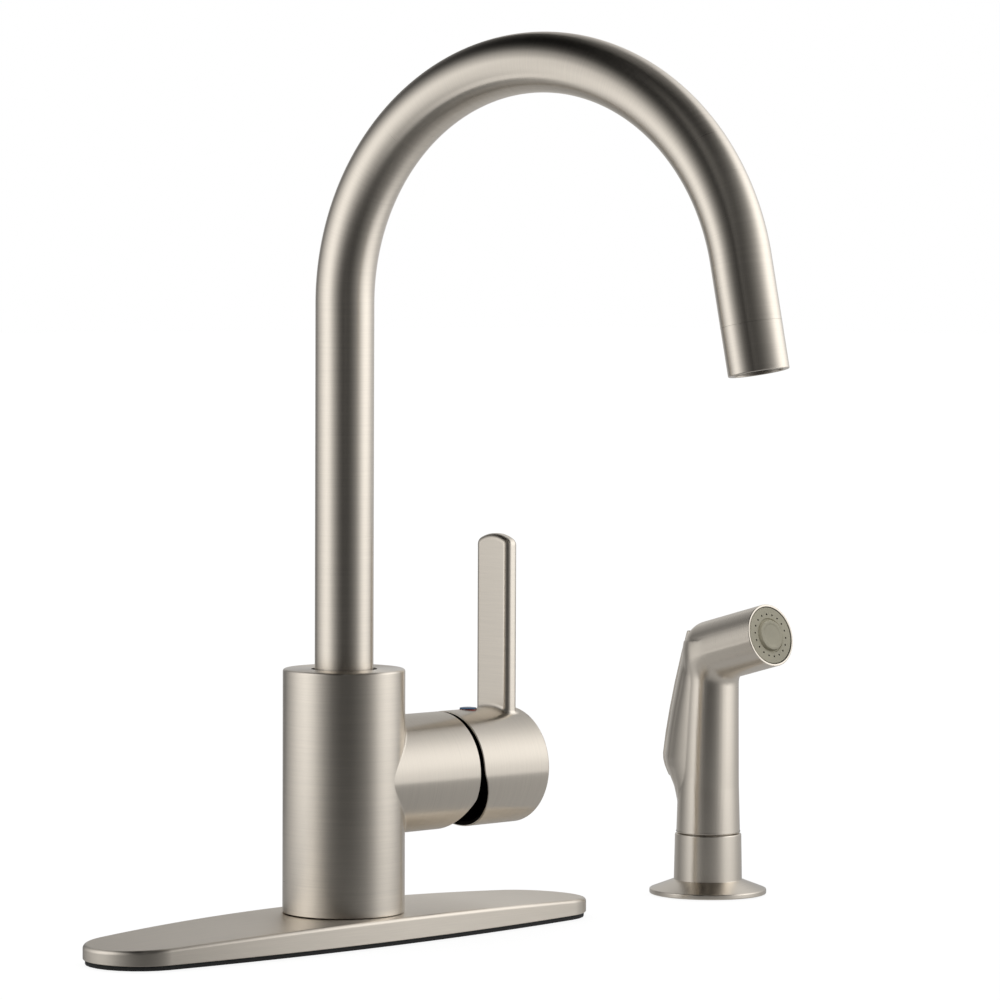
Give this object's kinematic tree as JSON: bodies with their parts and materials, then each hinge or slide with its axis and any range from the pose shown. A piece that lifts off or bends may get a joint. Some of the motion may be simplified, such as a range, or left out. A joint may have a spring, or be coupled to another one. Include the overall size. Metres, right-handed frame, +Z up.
{
  "type": "side spray kitchen faucet",
  "caption": "Kitchen faucet with a high gooseneck spout, side lever on a round body, long deck plate and a separate hand spray in its deck holder.",
  "frame": {"origin": "on the valve body's vertical axis, at the level of the sink deck, which is the plate gasket's underside", "axes": "+Z up, +X along the deck plate towards the handle and the side spray, -Y towards the user"},
  "size_m": [0.3722, 0.2365, 0.3681],
  "materials": {
    "nickel": "brushed satin nickel",
    "brass": "machined",
    "steel": "bright drawn",
    "black_rubber": "matte",
    "dark_plastic": "matte",
    "white_plastic": "moulded",
    "grey_plastic": "moulded",
    "ceramic": "lapped alumina ceramic",
    "blue_plastic": "gloss"
  },
  "bodies": {
    "base": {"deck_plate": "nickel", "plate_gasket": "black_rubber", "valve_body": "nickel", "spout_glide_bush": "dark_plastic", "diverter_cage": "white_plastic", "cartridge_seal": "black_rubber", "cartridge_base": "white_plastic", "cartridge_fixed_disc": "ceramic", "cartridge_housing": "white_plastic", "bonnet_nut": "dark_plastic", "spray_holder": "nickel", "spray_holder_gasket": "black_rubber", "diverter_spring": "steel"},
    "diverter": {"diverter_piston": "brass"},
    "spout": {"spout_tube": "nickel", "spout_spigot": "brass", "spout_retaining_clip": "steel", "spigot_o_ring_lower": "black_rubber", "spigot_o_ring_upper": "black_rubber", "aerator_housing": "nickel", "aerator_insert": "dark_plastic", "aerator_washer": "black_rubber"},
    "carrier": {"cartridge_carrier": "white_plastic", "stem_pin": "steel"},
    "disc": {"cartridge_moving_disc": "ceramic", "disc_driver": "white_plastic"},
    "lever": {"handle": "nickel", "cartridge_stem": "brass", "handle_set_screw": "steel", "indicator_button": "blue_plastic"},
    "handset": {"spray_handset": "nickel", "spray_face": "grey_plastic", "hose_coupling": "brass", "trigger_pin": "steel", "spray_valve_spring": "steel"},
    "thumb_lever": {"spray_trigger": "nickel"},
    "spray_valve": {"spray_valve_stem": "brass", "valve_stem_o_ring": "black_rubber"}
  },
  "joints": [
    {"name": "spout_swivel", "type": "hinge", "parent": "base", "child": "spout", "pos_m": [0, 0, 0.1], "axis": [0, 0, 1], "continuous": true},
    {"name": "temperature_turn", "type": "hinge", "parent": "base", "child": "carrier", "pos_m": [0.046, 0, 0.0657], "axis": [1, 0, 0], "range_deg": [-45, 45]},
    {"name": "handle_tilt", "type": "hinge", "parent": "carrier", "child": "lever", "pos_m": [0.046, 0, 0.0657], "axis": [0, 1, 0], "range_deg": [0, 20]},
    {"name": "disc_slide", "type": "slide", "parent": "carrier", "child": "disc", "axis": [0, 0, 1], "range_m": [0, 0.00318]},
    {"name": "diverter_lift", "type": "slide", "parent": "base", "child": "diverter", "axis": [0, 0, 1], "range_m": [0, 0.003], "stiffness_N_per_m": 60, "springref_m": -0.002, "deforming": ["diverter_spring"]},
    {"name": "spray_lift", "type": "slide", "parent": "base", "child": "handset", "axis": [0, 0, 1], "range_m": [0, 0.06]},
    {"name": "trigger_press", "type": "hinge", "parent": "handset", "child": "thumb_lever", "pos_m": [0.2165, 0.0077, 0.1102], "axis": [-1, 0, 0], "range_deg": [0, 2.8], "stiffness_Nm_per_rad": 2, "springref_deg": -2.86},
    {"name": "spray_valve_slide", "type": "slide", "parent": "handset", "child": "spray_valve", "axis": [0, -1, 0], "range_m": [0, 0.00227], "deforming": ["spray_valve_spring"]}
  ],
  "couplings": [
    {"joint": "disc_slide", "follows": "handle_tilt", "m_per_rad": 0.0091},
    {"joint": "spray_valve_slide", "follows": "trigger_press", "m_per_rad": 0.0462}
  ]
}
